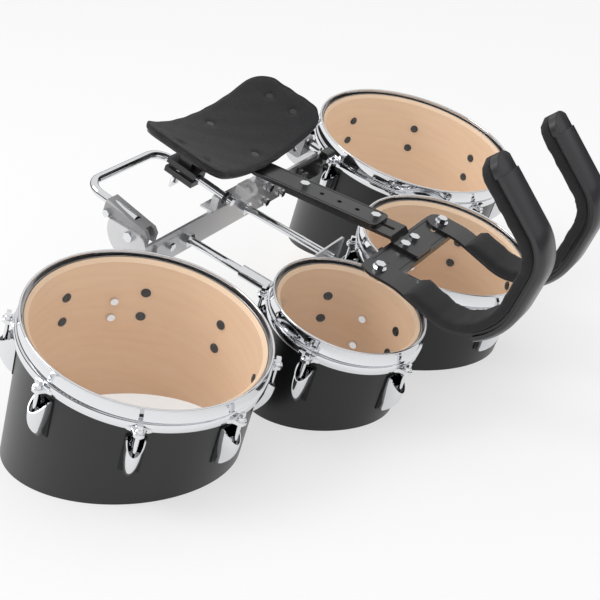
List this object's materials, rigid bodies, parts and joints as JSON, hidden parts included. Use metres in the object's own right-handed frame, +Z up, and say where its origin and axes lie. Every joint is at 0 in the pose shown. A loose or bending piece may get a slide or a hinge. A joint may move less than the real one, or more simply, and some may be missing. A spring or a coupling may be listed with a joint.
{
  "type": "marching tenor drums",
  "caption": "Tunable single-headed drums with slanted open shells on one rack, with a folding shoulder carrier: padded hooks, sliding spine and belly plate.",
  "frame": {"origin": "centre of the bounding box on the floor plane", "axes": "+X along the rack from the 12 inch to the 13 inch drum, +Y towards the player, +Z up"},
  "size_m": [1.1438, 0.6824, 0.4104],
  "materials": {
    "shell": "satin black outside, bare maple inside",
    "film": "clear film",
    "chrome": "polished",
    "gasket": "matt",
    "black_steel": "black screws",
    "aluminium": "satin",
    "cast": "cast, tumbled",
    "white_metal": "satin",
    "black_metal": "satin black",
    "felt": "brushed felt",
    "moulding": "glossy"
  },
  "bodies": {
    "drum_set": {"shell_12_inch": "shell", "head_12_inch": "film", "hoop_12_inch": "chrome", "shell_8_inch": "shell", "head_8_inch": "film", "hoop_8_inch": "chrome", "shell_10_inch": "shell", "head_10_inch": "film", "hoop_10_inch": "chrome", "shell_13_inch": "shell", "head_13_inch": "film", "hoop_13_inch": "chrome", "head_rings": "aluminium", "lugs": "chrome", "lug_gaskets": "gasket", "tension_rods": "chrome", "lug_screws": "black_steel", "mount_bolts": "chrome", "rail": "aluminium", "rail_bolts": "chrome", "hinge_base": "aluminium", "center_block": "white_metal", "leg_rests": "aluminium", "support_rods": "chrome", "support_nuts": "chrome", "support_socket": "chrome", "spreader_bracket": "aluminium", "near_drum_bracket": "aluminium", "far_drum_bracket": "black_metal", "drum_pair_bracket": "aluminium"},
    "tilt_frame": {"u_rods": "chrome", "tilt_arm": "cast", "tilt_lug": "cast", "tilt_bolts": "chrome", "rod_collars": "black_metal"},
    "belly_carriage": {"belly_plate": "black_metal", "belly_pad": "felt", "pad_buttons": "black_metal", "belly_rivets": "chrome", "clamp_near": "black_metal", "clamp_far": "black_metal", "upper_spine_bar": "black_metal", "spine_bolts": "chrome"},
    "screw_near": {"clamp_screw_near": "chrome"},
    "screw_far": {"clamp_screw_far": "chrome"},
    "spine_slider": {"lower_spine_bar": "black_metal", "cross_bar": "black_metal", "cross_bar_bolts": "chrome"},
    "bolt_slider_near": {"slot_bolt_near": "chrome"},
    "bolt_slider_far": {"slot_bolt_far": "chrome"},
    "hook_near": {"shoulder_beam_near": "black_metal", "shoulder_pad_near": "felt", "shoulder_cover_near": "moulding"},
    "hook_far": {"shoulder_beam_far": "black_metal", "shoulder_pad_far": "felt", "shoulder_cover_far": "moulding"}
  },
  "joints": [
    {"name": "carrier_tilt", "type": "hinge", "parent": "drum_set", "child": "tilt_frame", "pos_m": [-0.03236, 0.19994, 0.25726], "axis": [0.9978, 0, 0.067], "range_deg": [-90, 0]},
    {"name": "belly_slide", "type": "slide", "parent": "tilt_frame", "child": "belly_carriage", "axis": [-0.028, 0.9085, 0.4169], "range_m": [-0.02, 0]},
    {"name": "screw_turn_near", "type": "hinge", "parent": "belly_carriage", "child": "screw_near", "pos_m": [-0.10335, 0.24592, 0.277], "axis": [-0.0608, -0.4179, 0.9065], "range_deg": [-90, 90]},
    {"name": "screw_turn_far", "type": "hinge", "parent": "belly_carriage", "child": "screw_far", "pos_m": [0.03534, 0.24592, 0.28631], "axis": [-0.0608, -0.4179, 0.9065], "range_deg": [-90, 90]},
    {"name": "spine_length", "type": "slide", "parent": "belly_carriage", "child": "spine_slider", "axis": [-0.0157, 0.972, 0.2346], "range_m": [0, 0.0296]},
    {"name": "shoulder_width_near", "type": "slide", "parent": "spine_slider", "child": "bolt_slider_near", "axis": [0.9978, 0, 0.067], "range_m": [0, 0.025]},
    {"name": "shoulder_swivel_near", "type": "hinge", "parent": "bolt_slider_near", "child": "hook_near", "pos_m": [-0.1244, -0.10344, 0.20994], "axis": [-0.0632, -0.3289, 0.9423], "range_deg": [-20, 8]},
    {"name": "shoulder_width_far", "type": "slide", "parent": "spine_slider", "child": "bolt_slider_far", "axis": [0.9978, 0, 0.067], "range_m": [-0.025, 0]},
    {"name": "shoulder_swivel_far", "type": "hinge", "parent": "bolt_slider_far", "child": "hook_far", "pos_m": [0.06517, -0.10344, 0.22266], "axis": [-0.0632, -0.3289, 0.9423], "range_deg": [-8, 20]}
  ]
}
